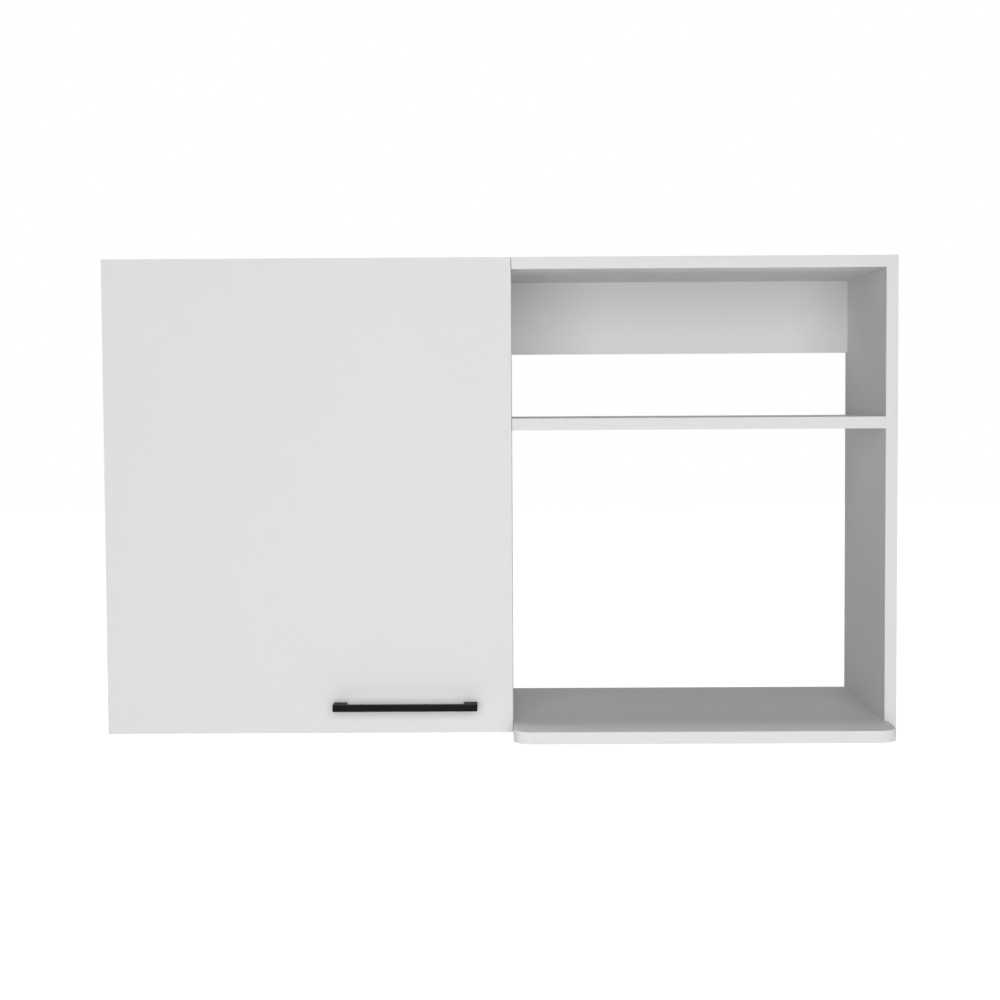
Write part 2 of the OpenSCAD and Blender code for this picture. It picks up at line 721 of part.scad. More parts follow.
// The bar's shape from above: square outer ends, and a curve from each foot into the bar
module handle_outline() {
    gap_x = handle_l / 2 - foot_w;
    gap_y = handle_bar_d - handle_out;
    difference() {
        translate([-handle_l / 2, -handle_out]) square([handle_l, handle_out]);
        translate([-gap_x, gap_y + handle_fillet]) square([2 * gap_x, past - gap_y - handle_fillet]);
        translate([handle_fillet - gap_x, gap_y]) square([2 * (gap_x - handle_fillet), handle_fillet + past]);
        for (s = [-1, 1]) translate([s * (gap_x - handle_fillet), gap_y + handle_fillet])
            circle(r = handle_fillet);
    }
}

// The bar's section from its end, with the two front edges broken
module handle_section() {
    h = handle_h / 2;
    polygon([[past, -h], [past, h], [handle_edge - handle_out, h], [-handle_out, h - handle_edge],
        [-handle_out, handle_edge - h], [handle_edge - handle_out, -h]]);
}

module handle() color("#232425") at_wall() translate([handle_x, 0, handle_z]) difference() {
    intersection() {
        translate([0, 0, -handle_h / 2]) linear_extrude(handle_h) handle_outline();
        translate([-handle_l / 2, 0, 0]) rotate([90, 0, 90]) linear_extrude(handle_l)
            handle_section();
    }
    for (s = [-1, 1])
        pin_y(s * handle_centres / 2, 0, -handle_screw_in - spare, past, handle_screw_d + 2 * slip);
}

module handle_screws() color("#bcbdbf") at_wall() for (s = [-1, 1])
    translate([handle_x + s * handle_centres / 2, door_t, handle_z]) rotate([0, 0, 90])
        pan_screw(handle_screw_d, door_t + handle_screw_in, handle_head_d, handle_head_t);

// A slot with round ends for the inner link's pin
module pin_slot() {
    r = link_pin_d / 2 + slot_room;
    for (y = [0, slot_travel]) translate([0, y]) circle(r = r);
    translate([-r, 0]) square([2 * r, slot_travel]);
}

// A round cup with a flange to its two screws, a pocket for the links and two slotted ribs in it
module hinge_cups() color("#c4c6c8") at_wall() for (hz = hinge_zs) translate([cup_x, door_t, hz]) {
    difference() {
        union() {
            pin_y(0, 0, -cup_depth, 0, cup_d);
            pin_y(0, 0, 0, flange_t, cup_d + 2 * flange_lip);
            for (s = [-1, 1]) pin_y(cup_wing_x, s * cup_screw_centres / 2, 0, flange_t, cup_wing_d);
            box([cup_wing_x - cup_wing_d / 2, 0, -cup_screw_centres / 2],
                [cup_wing_x + cup_wing_d / 2, flange_t, cup_screw_centres / 2]);
        }
        box([-pocket_l / 2, cup_floor - cup_depth, -pocket_w / 2],
            [pocket_l / 2, past + flange_t, pocket_w / 2]);
        box([-cup_d, 0, -pocket_w / 2], [cup_d, past + flange_t, pocket_w / 2]);
        for (s = [-1, 1])
            pin_y(cup_wing_x, s * cup_screw_centres / 2, -past, flange_t + past, cup_screw_d + 2 * slip);
        translate(concat(stub_at, -stub_to - spare))
            cylinder(d = stub_d + 2 * turn, h = 2 * (stub_to + spare));
    }
    for (z = [ear_from, -ear_from - ear_t]) translate([0, 0, z]) linear_extrude(ear_t) difference() {
        translate([-pocket_l / 2 - 0.1, cup_floor - cup_depth - 0.1]) square([rib_l + 0.1, rib_h + 0.1]);
        translate(slot_at) pin_slot();
    }
}

module cup_screws() color("#bcbdbf") at_wall() for (hz = hinge_zs, s = [-1, 1])
    translate([cup_screw_x, door_t + flange_t, hz + s * cup_screw_centres / 2]) rotate([0, 0, 90])
        pan_screw(cup_screw_d, cup_screw_in + flange_t, cup_head_d, cup_head_t);

left_side();
divider();
right_side();
left_top();
left_bottom();
right_top();
middle_shelf();
microwave_shelf();
left_rail();
right_rail();
back_panel();
adjustable_shelf();
shelf_pins();
case_edge_bands();
shelf_edge_band();
dowels();
cam_locks();
cam_bolts();
shelf_screws();
screw_caps();
hinge_plates();
plate_screws();
hinge_arms();
arm_screws();
arm_pins();
outer_links();
inner_links();
door_panel();
door_edge_bands();
door_bumpers();
handle();
handle_screws();
hinge_cups();
cup_screws();
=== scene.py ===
import math

import bmesh
import bpy
import numpy as np
from mathutils import Matrix, Vector


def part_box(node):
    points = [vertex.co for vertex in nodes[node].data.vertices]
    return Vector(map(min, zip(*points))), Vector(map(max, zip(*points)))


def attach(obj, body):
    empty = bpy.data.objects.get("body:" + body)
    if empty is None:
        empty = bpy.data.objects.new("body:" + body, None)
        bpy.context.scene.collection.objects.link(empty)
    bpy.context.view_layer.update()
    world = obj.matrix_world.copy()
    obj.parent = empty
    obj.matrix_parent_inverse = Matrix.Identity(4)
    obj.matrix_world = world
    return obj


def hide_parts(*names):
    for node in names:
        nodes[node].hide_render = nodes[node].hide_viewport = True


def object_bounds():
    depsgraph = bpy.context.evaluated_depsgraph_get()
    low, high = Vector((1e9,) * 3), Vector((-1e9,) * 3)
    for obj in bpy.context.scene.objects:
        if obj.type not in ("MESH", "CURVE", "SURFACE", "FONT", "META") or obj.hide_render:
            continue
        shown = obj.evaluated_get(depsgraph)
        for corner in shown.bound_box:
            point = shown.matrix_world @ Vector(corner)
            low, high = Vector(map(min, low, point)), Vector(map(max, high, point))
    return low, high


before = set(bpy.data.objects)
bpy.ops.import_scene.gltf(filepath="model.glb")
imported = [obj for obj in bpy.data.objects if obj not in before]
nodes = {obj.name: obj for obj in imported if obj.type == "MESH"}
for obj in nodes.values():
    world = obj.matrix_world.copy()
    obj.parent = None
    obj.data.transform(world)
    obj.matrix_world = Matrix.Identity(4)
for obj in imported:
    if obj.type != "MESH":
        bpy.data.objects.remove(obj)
cadLow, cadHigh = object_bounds()
print("frame loaded,", len(nodes), "nodes")


def linearColour(hexColour):
    # sRGB hex to linear red, green, blue, alpha
    channels = [int(hexColour[i:i + 2], 16) / 255 for i in (1, 3, 5)]
    return [c / 12.92 if c <= 0.04045 else ((c + 0.055) / 1.055) ** 2.4 for c in channels] + [1]


def addNode(tree, kind, settings=None, inputs=None):
    # One node with its settings. An input is a value, a socket to link from, or a node whose first
    # output it takes.
    node = tree.nodes.new(kind)
    for name, value in (settings or {}).items():
        setattr(node, name, value)
    for name, value in (inputs or {}).items():
        if isinstance(value, bpy.types.Node):
            value = value.outputs[0]
        if isinstance(value, bpy.types.NodeSocket):
            tree.links.new(value, node.inputs[name])
        else:
            node.inputs[name].default_value = value
    return node


def newMaterial(name):
    material = bpy.data.materials.new(name)
    material.use_nodes = True
    material.node_tree.nodes.clear()
    return material, material.node_tree


def assign(material, *names):
    for name in names:
        mesh = nodes[name].data
        mesh.materials.clear()
        mesh.materials.append(material)


def addSurface(name, grids, material, body, replaced, sharp=40):
    # Each grid is rows of rings of points: quads join neighbouring rings, and a flat face closes each end
    points, faces, start = [], [], 0
    for grid in grids:
        rows, columns = grid.shape[:2]
        index = start + np.arange(rows * columns).reshape(rows, columns)
        after = np.roll(index, -1, axis=1)
        quads = np.stack([index[:-1], after[:-1], after[1:], index[1:]], axis=-1).reshape(-1, 4)
        faces += quads.tolist() + [index[0].tolist(), index[-1][::-1].tolist()]
        points.append(grid.reshape(-1, 3))
        start += rows * columns
    mesh = bpy.data.meshes.new(name)
    mesh.from_pydata(np.concatenate(points).tolist(), [], faces)
    shell = bmesh.new()
    shell.from_mesh(mesh)
    bmesh.ops.recalc_face_normals(shell, faces=shell.faces)
    shell.to_mesh(mesh)
    shell.free()
    mesh.shade_smooth()
    mesh.set_sharp_from_angle(angle=math.radians(sharp))
    mesh.materials.append(material)
    piece = bpy.data.objects.new(name, mesh)
    bpy.context.scene.collection.objects.link(piece)
    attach(piece, body)
    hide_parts(replaced)
    print(name, "made,", len(mesh.polygons), "faces")


# Melamine faced particle board: printed paper under resin, pressed against a steel plate with a fine
# pearl grain, so it is a satin white with hardly any sparkle. Where a bore, groove or rear edge cuts
# through the paper, the pressed wood chips show.
boardLook = {
    "white": "#e6e6e6", "whiteDark": "#e4e4e4", "cloud": 0.14,
    "pearlGrain": 0.0012, "pearlDepth": 0.00001,
    "chip": 0.0022, "chipPale": "#dcc69f", "chipMid": "#c2a57b", "chipDark": "#957550",
    "paper": 0.0002, "rearTurn": 0.7, "bump": 0.6, "roughness": 0.58, "rawRoughness": 0.9, "index": 1.5,
    "gloss": 0.08,
}


def boardMaterial(look, board, rearIsRaw=True):
    low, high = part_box(board)
    material, tree = newMaterial("melamineBoard." + board)
    coordinates = addNode(tree, "ShaderNodeTexCoord")
    place = coordinates.outputs["Object"]
    # Depth under the nearest flat side of the board tells a bore or groove from the paper
    fromLow = addNode(tree, "ShaderNodeVectorMath", {"operation": "SUBTRACT"}, {0: place, 1: low})
    fromHigh = addNode(tree, "ShaderNodeVectorMath", {"operation": "SUBTRACT"}, {0: high, 1: place})
    nearest = addNode(tree, "ShaderNodeVectorMath", {"operation": "MINIMUM"}, {0: fromLow, 1: fromHigh})
    parts = addNode(tree, "ShaderNodeSeparateXYZ", inputs={0: nearest})
    sideways = addNode(tree, "ShaderNodeMath", {"operation": "MINIMUM"},
                       {0: parts.outputs[0], 1: parts.outputs[1]})
    depth = addNode(tree, "ShaderNodeMath", {"operation": "MINIMUM"}, {0: sideways, 1: parts.outputs[2]})
    raw = addNode(tree, "ShaderNodeMath", {"operation": "GREATER_THAN"}, {0: depth, 1: look["paper"]})
    if rearIsRaw:
        # Raw too where the surface faces the wall and lies on the board's rear side
        facing = addNode(tree, "ShaderNodeSeparateXYZ", inputs={0: coordinates.outputs["Normal"]})
        wallSide = addNode(tree, "ShaderNodeSeparateXYZ", inputs={0: fromHigh})
        turned = addNode(tree, "ShaderNodeMath", {"operation": "GREATER_THAN"},
                         {0: facing.outputs[1], 1: look["rearTurn"]})
        atWall = addNode(tree, "ShaderNodeMath", {"operation": "LESS_THAN"},
                         {0: wallSide.outputs[1], 1: look["paper"]})
        rear = addNode(tree, "ShaderNodeMath", {"operation": "MULTIPLY"}, {0: turned, 1: atWall})
        raw = addNode(tree, "ShaderNodeMath", {"operation": "MAXIMUM"}, {0: raw, 1: rear})
    cloud = addNode(tree, "ShaderNodeTexNoise",
                    inputs={"Vector": place, "Scale": 1 / look["cloud"], "Detail": 2.0})
    white = addNode(tree, "ShaderNodeMix", {"data_type": "RGBA"},
                    {0: cloud, 6: linearColour(look["whiteDark"]), 7: linearColour(look["white"])})
    chips = addNode(tree, "ShaderNodeTexVoronoi", inputs={"Vector": place, "Scale": 1 / look["chip"]})
    chipTone = addNode(tree, "ShaderNodeSeparateColor", inputs={0: chips.outputs["Color"]})
    paleWood = addNode(tree, "ShaderNodeMix", {"data_type": "RGBA"},
                       {0: chipTone, 6: linearColour(look["chipMid"]), 7: linearColour(look["chipPale"])})
    wood = addNode(tree, "ShaderNodeMix", {"data_type": "RGBA"},
                   {0: chipTone.outputs[1], 6: linearColour(look["chipDark"]), 7: paleWood.outputs[2]})
    colour = addNode(tree, "ShaderNodeMix", {"data_type": "RGBA"},
                     {0: raw, 6: white.outputs[2], 7: wood.outputs[2]})
    pearl = addNode(tree, "ShaderNodeTexNoise",
                    inputs={"Vector": place, "Scale": 1 / look["pearlGrain"], "Detail": 2.0})
    grain = addNode(tree, "ShaderNodeMath", {"operation": "MULTIPLY_ADD"}, {0: raw, 1: chips, 2: pearl})
    bump = addNode(tree, "ShaderNodeBump",
                   inputs={"Height": grain, "Distance": look["pearlDepth"], "Strength": look["bump"]})
    rough = addNode(tree, "ShaderNodeMapRange", inputs={"Value": raw, "To Min": look["roughness"],
                                                        "To Max": look["rawRoughness"]})
    shader = addNode(tree, "ShaderNodeBsdfPrincipled",
                     inputs={"Base Color": colour.outputs[2], "Roughness": rough, "Normal": bump,
                             "IOR": look["index"], "Specular IOR Level": look["gloss"]})
    addNode(tree, "ShaderNodeOutputMaterial", inputs={"Surface": shader})
    return material


for board in ("left_side", "divider", "right_side", "left_top", "left_bottom", "right_top", "middle_shelf",
              "microwave_shelf", "adjustable_shelf"):
    assign(boardMaterial(boardLook, board), board)
for board in ("left_rail", "right_rail", "door_panel"):
    assign(boardMaterial(boardLook, board, rearIsRaw=False), board)
print("boards finished")


# ABS edge banding, extruded and ironed on with hot glue. Its outer edges are milled round and buffed, so
# each board ends in a fine soft line.
bandLook = {
    "white": "#e5e5e5", "shade": "#e3e3e3", "patch": 0.11, "line": 0.0004, "depth": 0.000006, "bump": 0.5,
    "roughness": 0.5, "spread": 0.04, "index": 1.53, "gloss": 0.08, "thick": 0.001, "round": 0.0005,
    "steps": 6, "hairline": 0.00005, "shelfCorner": 0.025, "cornerSteps": 14,
}


def bandMaterial(look):
    material, tree = newMaterial("absEdgeBand")
    place = addNode(tree, "ShaderNodeTexCoord").outputs["Object"]
    slow = addNode(tree, "ShaderNodeTexNoise",
                   inputs={"Vector": place, "Scale": 1 / look["patch"], "Detail": 1.0})
    colour = addNode(tree, "ShaderNodeMix", {"data_type": "RGBA"},
                     {0: slow, 6: linearColour(look["shade"]), 7: linearColour(look["white"])})
    fine = addNode(tree, "ShaderNodeTexNoise",
                   inputs={"Vector": place, "Scale": 1 / look["line"], "Detail": 1.0})
    bump = addNode(tree, "ShaderNodeBump",
                   inputs={"Height": fine, "Distance": look["depth"], "Strength": look["bump"]})
    rough = addNode(tree, "ShaderNodeMapRange",
                    inputs={"Value": fine, "To Min": look["roughness"] - look["spread"],
                            "To Max": look["roughness"] + look["spread"]})
    shader = addNode(tree, "ShaderNodeBsdfPrincipled",
                     inputs={"Base Color": colour.outputs[2], "Roughness": rough, "Normal": bump,
                             "IOR": look["index"], "Specular IOR Level": look["gloss"]})
    addNode(tree, "ShaderNodeOutputMaterial", inputs={"Surface": shader})
    return material


def bandGrid(look, path, outward, across, width):
    # A band carried along its path. Its section is a strip as wide as the board and one band thick, with
    # a quarter circle on each outer edge. Each ring is the path's point, plus the section's height times
    # the outward direction there, plus the section's width times the direction across the path.
    quarter = np.linspace(0, math.pi / 2, look["steps"])
    height = look["thick"] - look["round"] * (1 - np.sin(quarter))
    side = width / 2 - look["round"] * (1 - np.cos(quarter))
    height = np.concatenate([[0], height, height[::-1], [0]])
    side = np.concatenate([[-width / 2], -side, side[::-1], [width / 2]])
    return (path[:, None, :] + height[None, :, None] * outward[:, None, :]
            + side[None, :, None] * np.asarray(across, float)[None, None, :])


def straightBand(look, start, end, outward, across, width):
    path = np.array([start, end], float)
    return bandGrid(look, path, np.array([outward, outward], float), across, width)


def caseBands(look):
    # One straight band on the front edge of each board, between its own ends
    grids = []
    for board in ("left_side", "divider", "right_side"):
        low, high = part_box(board)
        x, y = (low[0] + high[0]) / 2, low[1]
        grids.append(straightBand(look, (x, y, low[2]), (x, y, high[2]), (0, -1, 0), (1, 0, 0),
                                  high[0] - low[0]))
    for board in ("left_top", "left_bottom", "right_top", "middle_shelf", "adjustable_shelf"):
        low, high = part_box(board)
        z, y, gap = (low[2] + high[2]) / 2, low[1], look["hairline"]
        grids.append(straightBand(look, (low[0] + gap, y, z), (high[0] - gap, y, z), (0, -1, 0), (0, 0, 1),
                                  high[2] - low[2]))
    return grids


def doorBands(look):
    # The two upright bands run the door's full height, and the others lie between them
    low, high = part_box("door_panel")
    below, above = low[2] - look["thick"], high[2] + look["thick"]
    left, right = low[0] + look["hairline"], high[0] - look["hairline"]
    y, width = (low[1] + high[1]) / 2, high[1] - low[1]
    across = (0, 1, 0)
    return [
        straightBand(look, (low[0], y, below), (low[0], y, above), (-1, 0, 0), across, width),
        straightBand(look, (high[0], y, below), (high[0], y, above), (1, 0, 0), across, width),
        straightBand(look, (left, y, low[2]), (right, y, low[2]), (0, 0, -1), across, width),
        straightBand(look, (left, y, high[2]), (right, y, high[2]), (0, 0, 1), across, width)]


def shelfBand(look):
    # From the divider forwards, round a quarter circle at each front corner, and back to the side panel
    low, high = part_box("shelf_edge_band")
    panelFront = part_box("case_edge_bands")[0][1]
    cornerRadius, steps = look["shelfCorner"], look["cornerSteps"]
    angle = np.linspace(math.pi, 1.5 * math.pi, steps)
    left = np.stack([np.cos(angle), np.sin(angle), np.zeros(steps)], axis=1)
    right = left[::-1] * (-1, 1, 1)
    z, reach = (low[2] + high[2]) / 2, cornerRadius - look["thick"]
    leftCentre = np.array([low[0] + cornerRadius, low[1] + cornerRadius, z])
    rightCentre = np.array([high[0] - cornerRadius, low[1] + cornerRadius, z])
    path = np.concatenate([[[low[0] + look["thick"], high[1], z]], leftCentre + reach * left,
                           rightCentre + reach * right, [[high[0] - look["thick"], panelFront, z]]])
    outward = np.concatenate([[[-1, 0, 0]], left, right, [[1, 0, 0]]])
    return [bandGrid(look, path, outward, (0, 0, 1), high[2] - low[2])]


absBand = bandMaterial(bandLook)
addSurface("caseEdgeBands", caseBands(bandLook), absBand, "case", "case_edge_bands")
addSurface("shelfEdgeBand", shelfBand(bandLook), absBand, "case", "shelf_edge_band")
addSurface("doorEdgeBands", doorBands(bandLook), absBand, "door", "door_edge_bands")


# High density fibre board for the back: white lacquer towards the room, bare brown fibre towards the wall.
# Real flecks of bark and fibre are about a millimetre long, and are drawn coarser so that they show.
backLook = {
    "lacquer": "#dfdfdf", "fibre": "#a9855f", "fibreDark": "#8d6b4a", "bark": "#6b4d33", "fleck": 0.004,
    "fleckFrom": 0.56, "fleckFull": 0.7, "fleckDepth": 0.00003, "bump": 0.4, "drift": 0.09, "rearTurn": -0.5,
    "roughness": 0.5, "rawRoughness": 0.85,
}


def backMaterial(look):
    # Lacquer where the surface faces the room. Elsewhere fibre, with bark where the noise is strongest.
    material, tree = newMaterial("fibreBoard")
    coordinates = addNode(tree, "ShaderNodeTexCoord")
    place = coordinates.outputs["Object"]
    facing = addNode(tree, "ShaderNodeSeparateXYZ", inputs={0: coordinates.outputs["Normal"]})
    rear = addNode(tree, "ShaderNodeMath", {"operation": "GREATER_THAN"},
                   {0: facing.outputs[1], 1: look["rearTurn"]})
    flecks = addNode(tree, "ShaderNodeTexNoise",
                     inputs={"Vector": place, "Scale": 1 / look["fleck"], "Detail": 4.0})
    drift = addNode(tree, "ShaderNodeTexNoise",
                    inputs={"Vector": place, "Scale": 1 / look["drift"], "Detail": 3.0})
    ground = addNode(tree, "ShaderNodeMix", {"data_type": "RGBA"},
                     {0: drift, 6: linearColour(look["fibreDark"]), 7: linearColour(look["fibre"])})
    barkShare = addNode(tree, "ShaderNodeMapRange",
                        inputs={"Value": flecks, "From Min": look["fleckFrom"],
                                "From Max": look["fleckFull"]})
    fibre = addNode(tree, "ShaderNodeMix", {"data_type": "RGBA"},
                    {0: barkShare, 6: ground.outputs[2], 7: linearColour(look["bark"])})
    colour = addNode(tree, "ShaderNodeMix", {"data_type": "RGBA"},
                     {0: rear, 6: linearColour(look["lacquer"]), 7: fibre.outputs[2]})
    bump = addNode(tree, "ShaderNodeBump",
                   inputs={"Height": flecks, "Distance": look["fleckDepth"], "Strength": look["bump"]})
    rough = addNode(tree, "ShaderNodeMapRange", inputs={"Value": rear, "To Min": look["roughness"],
                                                        "To Max": look["rawRoughness"]})
    shader = addNode(tree, "ShaderNodeBsdfPrincipled",
                     inputs={"Base Color": colour.outputs[2], "Roughness": rough, "Normal": bump})
    addNode(tree, "ShaderNodeOutputMaterial", inputs={"Surface": shader})
    return material


assign(backMaterial(backLook), "back_panel")


# Metals of the fittings. Steel strip is pressed and nickel plated: bright, with a faint rolled grain.
# Zinc is cast under pressure: greyer, with a soft mottled skin.
metalLook = {
    "nickelPlatedSteel": {"colour": "#cfcdc8", "dark": "#bdbbb6", "grain": 0.0006, "depth": 0.000008,
                          "bump": 0.5, "roughness": 0.27, "spread": 0.06},
    "zincCasting": {"colour": "#a9abad", "dark": "#8f9193", "grain": 0.0011, "depth": 0.00002,
                    "bump": 0.5, "roughness": 0.43, "spread": 0.06},
}


def metalMaterial(name):
    look = metalLook[name]
    material, tree = newMaterial(name)
    place = addNode(tree, "ShaderNodeTexCoord").outputs["Object"]
    grain = addNode(tree, "ShaderNodeTexNoise",
                    inputs={"Vector": place, "Scale": 1 / look["grain"], "Detail": 3.0})
    colour = addNode(tree, "ShaderNodeMix", {"data_type": "RGBA"},
                     {0: grain, 6: linearColour(look["dark"]), 7: linearColour(look["colour"])})
    bump = addNode(tree, "ShaderNodeBump",
                   inputs={"Height": grain, "Distance": look["depth"], "Strength": look["bump"]})
    rough = addNode(tree, "ShaderNodeMapRange",
                    inputs={"Value": grain, "To Min": look["roughness"] - look["spread"],
                            "To Max": look["roughness"] + look["spread"]})
    shader = addNode(tree, "ShaderNodeBsdfPrincipled",
                     inputs={"Base Color": colour.outputs[2], "Roughness": rough, "Metallic": 1.0,
                             "Normal": bump})
    addNode(tree, "ShaderNodeOutputMaterial", inputs={"Surface": shader})
    return material


steel = metalMaterial("nickelPlatedSteel")
zinc = metalMaterial("zincCasting")
assign(steel, "shelf_pins", "cam_bolts", "shelf_screws", "hinge_plates", "plate_screws", "hinge_arms",
       "arm_screws", "arm_pins", "outer_links", "hinge_cups", "cup_screws", "handle_screws")
assign(zinc, "cam_locks", "inner_links")
print("fittings finished")


# Bar handle in matt black powder coat: a dry, slightly pebbled skin, rounded by the coat at every edge
handleLook = {
    "black": "#09090a", "grey": "#101011", "pebble": 0.0005, "depth": 0.00002, "bump": 0.7,
    "roughness": 0.48, "gloss": 0.06, "footWidth": 0.017, "barDepth": 0.008, "fillet": 0.0032,
    "corner": 0.001, "heel": 0.0006, "edge": 0.0005, "steps": 6,
}


def handleMaterial(look):
    material, tree = newMaterial("blackPowderCoat")
    place = addNode(tree, "ShaderNodeTexCoord").outputs["Object"]
    pebble = addNode(tree, "ShaderNodeTexNoise",
                     inputs={"Vector": place, "Scale": 1 / look["pebble"], "Detail": 2.0})
    colour = addNode(tree, "ShaderNodeMix", {"data_type": "RGBA"},
                     {0: pebble, 6: linearColour(look["black"]), 7: linearColour(look["grey"])})
    bump = addNode(tree, "ShaderNodeBump",
                   inputs={"Height": pebble, "Distance": look["depth"], "Strength": look["bump"]})
    shader = addNode(tree, "ShaderNodeBsdfPrincipled",
                     inputs={"Base Color": colour.outputs[2], "Roughness": look["roughness"], "Normal": bump,
                             "Specular IOR Level": look["gloss"]})
    addNode(tree, "ShaderNodeOutputMaterial", inputs={"Surface": shader})
    return material


def roundedOutline(corners, radii, steps):
    # An anticlockwise outline with an arc at each corner. The arc's centre lies one radius off both edges,
    # and its points are the centre plus or minus the radius times a normal that turns from one edge's to
    # the next one's. Gives the points and their outward normals.
    corners, radii = np.asarray(corners, float), np.asarray(radii, float)[:, None]
    before = corners - np.roll(corners, 1, axis=0)
    before /= np.linalg.norm(before, axis=1, keepdims=True)
    after = np.roll(before, -1, axis=0)
    crossed = before[:, 0] * after[:, 1] - before[:, 1] * after[:, 0]
    turn = np.arctan2(crossed, (before * after).sum(axis=1))[:, None]
    normal = np.stack([before[:, 1], -before[:, 0]], axis=1)
    centre = corners - before * radii * np.tan(np.abs(turn) / 2) - normal * radii * np.sign(turn)
    angle = np.arctan2(normal[:, 1], normal[:, 0])[:, None] + turn * np.linspace(0, 1, steps)
    normals = np.stack([np.cos(angle), np.sin(angle)], axis=-1)
    points = centre[:, None, :] + (np.sign(turn) * radii)[:, :, None] * normals
    return points.reshape(-1, 2), normals.reshape(-1, 2)


def handleGrid(look):
    # Rings of the outline from below to above. Near the lower and the upper face a ring moves inwards by
    # the edge radius less its cosine share, so both edges are quarter circles.
    low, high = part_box("handle")
    inner, back = look["footWidth"], low[1] + look["barDepth"]
    corners = [(low[0], low[1]), (high[0], low[1]), (high[0], high[1]), (high[0] - inner, high[1]),
               (high[0] - inner, back), (low[0] + inner, back), (low[0] + inner, high[1]), (low[0], high[1])]
    radii = [look[name] for name in ("corner", "corner", "heel", "heel", "fillet", "fillet", "heel", "heel")]
    points, normals = roundedOutline(corners, radii, look["steps"])
    quarter = np.linspace(0, math.pi / 2, look["steps"])
    inwards = look["edge"] * (1 - np.sin(quarter))
    height = look["edge"] * (1 - np.cos(quarter))
    inwards = np.concatenate([inwards, inwards[::-1]])
    height = np.concatenate([low[2] + height, high[2] - height[::-1]])
    rings = points[None] - inwards[:, None, None] * normals[None]
    return np.concatenate([rings, np.broadcast_to(height[:, None, None], rings.shape[:2] + (1,))], axis=-1)


addSurface("barHandle", [handleGrid(handleLook)], handleMaterial(handleLook), "door",
           "handle")


# Small plastics: matt polyethylene caps pressed over the wall screws, and cloudy soft bumpers stuck
# behind the door
plasticLook = {
    "polyethyleneCap": {"colour": "#e8e8e7", "dark": "#e2e2e1", "mottlesPerMetre": 700.0, "roughness": 0.5,
                        "index": 1.5, "clear": 0.0},
    "softBumper": {"colour": "#e4e7e9", "dark": "#d6dadd", "mottlesPerMetre": 700.0, "roughness": 0.25,
                   "index": 1.5, "clear": 0.55},
}
domeLook = {"rings": 9, "sides": 48, "lastDegrees": 86}
capLook = {"diameter": 0.013, "thick": 0.0006, "fromRailEnd": 0.048, "square": 5.0}
bumperLook = {"square": 2.6}


def plasticMaterial(name):
    look = plasticLook[name]
    material, tree = newMaterial(name)
    place = addNode(tree, "ShaderNodeTexCoord").outputs["Object"]
    mottle = addNode(tree, "ShaderNodeTexNoise",
                     inputs={"Vector": place, "Scale": look["mottlesPerMetre"], "Detail": 2.0})
    colour = addNode(tree, "ShaderNodeMix", {"data_type": "RGBA"},
                     {0: mottle, 6: linearColour(look["dark"]), 7: linearColour(look["colour"])})
    shader = addNode(tree, "ShaderNodeBsdfPrincipled",
                     inputs={"Base Color": colour.outputs[2], "Roughness": look["roughness"],
                             "IOR": look["index"], "Transmission Weight": look["clear"]})
    addNode(tree, "ShaderNodeOutputMaterial", inputs={"Surface": shader})
    return material


def domeGrid(centre, radius, height, square):
    # A flattened dome along Y: its profile is a rounded square, the radius times cosine and the height
    # times sine of one angle, each raised to two over the squareness, turned once round the axis
    angle = np.linspace(0, math.radians(domeLook["lastDegrees"]), domeLook["rings"])
    around = np.linspace(0, 2 * math.pi, domeLook["sides"], endpoint=False)
    out = radius * np.cos(angle) ** (2 / square)
    up = height * np.sin(angle) ** (2 / square)
    return np.stack([centre[0] + out[:, None] * np.cos(around), centre[1] + up[:, None] + 0 * around,
                     centre[2] + out[:, None] * np.sin(around)], axis=-1)


def capGrids(look):
    # One cap at the middle of the rail's height, a fixed way in from each of its ends
    grids = []
    for rail in ("left_rail", "right_rail"):
        low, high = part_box(rail)
        for x in (low[0] + look["fromRailEnd"], high[0] - look["fromRailEnd"]):
            centre = (x, low[1], (low[2] + high[2]) / 2)
            grids.append(domeGrid(centre, look["diameter"] / 2, -look["thick"], look["square"]))
    return grids


def bumperGrids(look):
    # One bumper at each end of the box that holds both
    low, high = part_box("door_bumpers")
    x, radius = (low[0] + high[0]) / 2, (high[0] - low[0]) / 2
    return [domeGrid((x, low[1], z), radius, high[1] - low[1], look["square"])
            for z in (low[2] + radius, high[2] - radius)]


addSurface("screwCaps", capGrids(capLook), plasticMaterial("polyethyleneCap"), "case",
           "screw_caps")
addSurface("doorBumpers", bumperGrids(bumperLook), plasticMaterial("softBumper"), "door",
           "door_bumpers")


# Turned beech for the dowels, with fine grooves along them for the glue
dowelLook = {"pale": "#d8b98c", "dark": "#b98f5e", "grain": 0.0012, "stretch": 0.15, "roughness": 0.6}


def beechMaterial(look):
    material, tree = newMaterial("beech")
    place = addNode(tree, "ShaderNodeTexCoord").outputs["Object"]
    along = addNode(tree, "ShaderNodeMapping", inputs={"Vector": place, "Scale": (look["stretch"], 1.0, 1.0)})
    grain = addNode(tree, "ShaderNodeTexNoise",
                    inputs={"Vector": along, "Scale": 1 / look["grain"], "Detail": 3.0})
    colour = addNode(tree, "ShaderNodeMix", {"data_type": "RGBA"},
                     {0: grain, 6: linearColour(look["dark"]), 7: linearColour(look["pale"])})
    shader = addNode(tree, "ShaderNodeBsdfPrincipled",
                     inputs={"Base Color": colour.outputs[2], "Roughness": look["roughness"]})
    addNode(tree, "ShaderNodeOutputMaterial", inputs={"Surface": shader})
    return material


assign(beechMaterial(dowelLook), "dowels")
print("small parts finished")


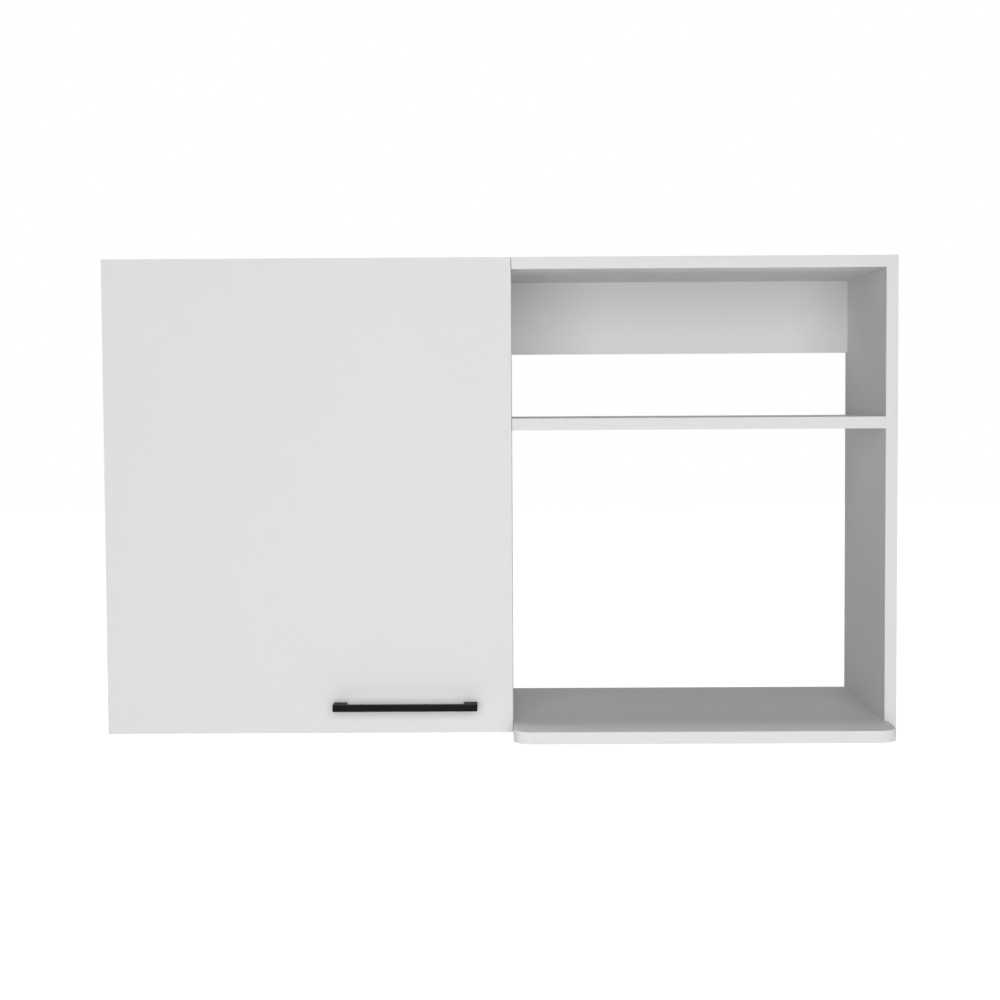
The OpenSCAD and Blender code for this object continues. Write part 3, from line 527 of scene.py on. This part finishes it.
# Floor well under the hung cabinet. For the camera it glows, so that it reads as white, and still shows
# the cabinet's shadow.
stageLook = {"drop": 1.4, "size": 60.0, "colour": "#efefef", "glow": 0.95, "ambient": 0.12, "backdrop": 1.0}


def seenRays(tree):
    # 1 for camera, glossy and transmission rays, 0 for the light that falls on the object
    path = addNode(tree, "ShaderNodeLightPath")
    direct = addNode(tree, "ShaderNodeMath", {"operation": "MAXIMUM"},
                     {0: path.outputs["Is Camera Ray"], 1: path.outputs["Is Glossy Ray"]})
    return addNode(tree, "ShaderNodeMath", {"operation": "MAXIMUM"},
                   {0: direct, 1: path.outputs["Is Transmission Ray"]})


def makeFloor(look):
    half = look["size"] / 2
    z = cadLow[2] - look["drop"]
    mesh = bpy.data.meshes.new("floor")
    corners = [(-half, -half, z), (half, -half, z), (half, half, z), (-half, half, z)]
    mesh.from_pydata(corners, [], [(0, 1, 2, 3)])
    floor = bpy.data.objects.new("floor", mesh)
    bpy.context.scene.collection.objects.link(floor)
    material, tree = newMaterial("paleFloor")
    matt = addNode(tree, "ShaderNodeBsdfDiffuse", inputs={"Color": linearColour(look["colour"])})
    glow = addNode(tree, "ShaderNodeEmission", inputs={"Color": (1, 1, 1, 1), "Strength": look["glow"]})
    both = addNode(tree, "ShaderNodeAddShader", inputs={0: matt, 1: glow})
    mix = addNode(tree, "ShaderNodeMixShader", inputs={0: seenRays(tree), 1: matt, 2: both})
    addNode(tree, "ShaderNodeOutputMaterial", inputs={"Surface": mix})
    mesh.materials.append(material)


def makeWorld(look):
    world = bpy.data.worlds.new("paleStudio")
    world.use_nodes = True
    tree = world.node_tree
    tree.nodes.clear()
    around = addNode(tree, "ShaderNodeBackground",
                     inputs={"Color": (1, 1, 1, 1), "Strength": look["ambient"]})
    seen = addNode(tree, "ShaderNodeBackground",
                   inputs={"Color": (1, 1, 1, 1), "Strength": look["backdrop"]})
    mix = addNode(tree, "ShaderNodeMixShader", inputs={0: seenRays(tree), 1: around, 2: seen})
    addNode(tree, "ShaderNodeOutputWorld", inputs={"Surface": mix})
    bpy.context.scene.world = world


makeFloor(stageLook)
makeWorld(stageLook)


# Soft lamps. The front one does nearly all the work, as the photograph's fronts are bright and its other
# faces about half as bright. The others are for the top, the outer sides and the wall side, and hardly
# reach the open bay.
lampLook = {
    "front": {"at": (0.0, -3.2, -0.05), "aim": (0.0, 0.0, -0.24), "size": 2.6, "power": 78.0},
    "above": {"at": (0.1, -0.1, 2.0), "aim": (0.1, -0.1, 0.0), "size": 0.5, "power": 11.0},
    "left": {"at": (-3.0, -0.145, -0.24), "aim": (-0.5, -0.145, -0.24), "size": 0.28, "power": 16.0},
    "right": {"at": (3.0, -0.145, -0.24), "aim": (0.5, -0.145, -0.24), "size": 0.28, "power": 16.0},
    "behind": {"at": (1.0, 3.0, -1.15), "aim": (0.0, 0.0, -0.24), "size": 1.0, "power": 24.0},
}


def addLamp(name, look):
    lamp = bpy.data.lights.new(name, "AREA")
    lamp.size = look["size"]
    lamp.energy = look["power"]
    holder = bpy.data.objects.new(name, lamp)
    aim = Vector(look["aim"]) - Vector(look["at"])
    holder.matrix_world = Matrix.Translation(look["at"]) @ aim.to_track_quat("-Z", "Y").to_matrix().to_4x4()
    holder.visible_camera = False
    bpy.context.scene.collection.objects.link(holder)


for name, look in lampLook.items():
    addLamp(name, look)


# The camera, fitted to the photograph's edges: place in metres, angles in radians, focal length and
# width in pixels, sensor in millimetres
cameraLook = {
    "at": (0.0168, -2.6544, -0.1162), "yaw": -0.007359, "pitch": -0.05219, "roll": -0.005669,
    "focalPixels": 1877.0, "widePixels": 1000, "sensor": 36.0, "reach": 100,
}


def makeCamera(look):
    # Looks along the yaw and pitch, with its own right and up turned round that line by the roll
    yaw, pitch, roll = look["yaw"], look["pitch"], look["roll"]
    forward = Vector((math.sin(yaw) * math.cos(pitch), math.cos(yaw) * math.cos(pitch), math.sin(pitch)))
    level = Vector((math.cos(yaw), -math.sin(yaw), 0))
    upright = level.cross(forward)
    right = level * math.cos(roll) + upright * math.sin(roll)
    up = upright * math.cos(roll) - level * math.sin(roll)
    data = bpy.data.cameras.new("camera")
    data.sensor_width = look["sensor"]
    data.lens = look["focalPixels"] * look["sensor"] / look["widePixels"]
    data.clip_end = look["reach"]
    camera = bpy.data.objects.new("camera", data)
    turn = Matrix((right, up, -forward)).transposed().to_4x4()
    camera.matrix_world = Matrix.Translation(look["at"]) @ turn
    bpy.context.scene.collection.objects.link(camera)
    bpy.context.scene.camera = camera


makeCamera(cameraLook)
bpy.context.scene.view_settings.view_transform = "Standard"
print("stage, lamps and camera ready")
